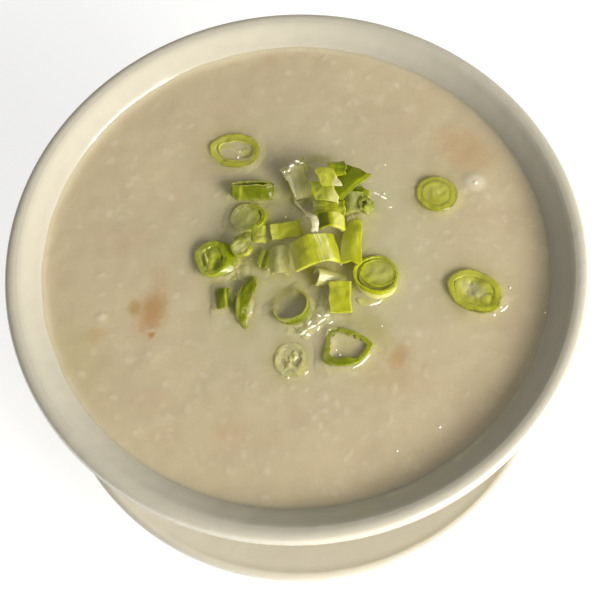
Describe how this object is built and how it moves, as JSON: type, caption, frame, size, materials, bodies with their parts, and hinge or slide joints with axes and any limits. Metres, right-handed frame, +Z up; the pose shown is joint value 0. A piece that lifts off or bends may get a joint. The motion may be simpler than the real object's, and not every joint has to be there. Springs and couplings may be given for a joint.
{
  "type": "congee bowl",
  "caption": "Round bowl on a matching saucer, filled nearly to the lip with pale rice congee and topped with a loose heap of sliced scallion.",
  "frame": {"origin": "centre of the saucer's foot ring, on the surface that it stands on", "axes": "+Z up along the bowl's axis, -Y towards the diner, +X to the diner's right"},
  "size_m": [0.16, 0.16, 0.0812],
  "materials": {
    "saucer_glaze": "smooth cream-white glaze, glossy",
    "bowl_glaze": "smooth cream-white glaze, glossy",
    "congee": "thick wet rice porridge, pale beige and glossy, with soft broken grains",
    "scallion_fresh": "wet yellow-green leaf with fine fibres",
    "scallion_deep": "wet dark green leaf with a smooth skin",
    "scallion_pale": "wet pale green nested layers",
    "scallion_clear": "wet translucent whitish membrane"
  },
  "bodies": {
    "root": {"saucer": "saucer_glaze", "bowl": "bowl_glaze", "congee": "congee", "slice_oblique": "scallion_fresh", "slice_round": "scallion_pale", "slice_oval": "scallion_pale", "slice_layered": "scallion_fresh", "ring_cornered": "scallion_deep", "ring_sunken": "scallion_pale", "tube_upright": "scallion_fresh", "tube_open": "scallion_fresh", "tube_crumpled": "scallion_fresh", "tube_small": "scallion_fresh", "strip_left_back": "scallion_fresh", "strip_left_front": "scallion_deep", "tube_dark": "scallion_deep", "strip_folded": "scallion_fresh", "leaf_clear": "scallion_clear", "tube_clear_front": "scallion_clear", "strip_front": "scallion_fresh", "tube_clear_back": "scallion_clear", "tube_clear_right": "scallion_clear", "curl_dark": "scallion_deep", "strip_back": "scallion_fresh", "leaf_dark": "scallion_deep", "strip_streaked": "scallion_fresh", "leaf_curved": "scallion_fresh", "strip_cupped": "scallion_pale", "leaf_pale_front": "scallion_pale", "leaf_pale_back": "scallion_pale", "shred_curled": "scallion_clear", "band_ribbed": "scallion_fresh", "sliver_folded": "scallion_deep", "strip_short": "scallion_deep"}
  },
  "joints": []
}
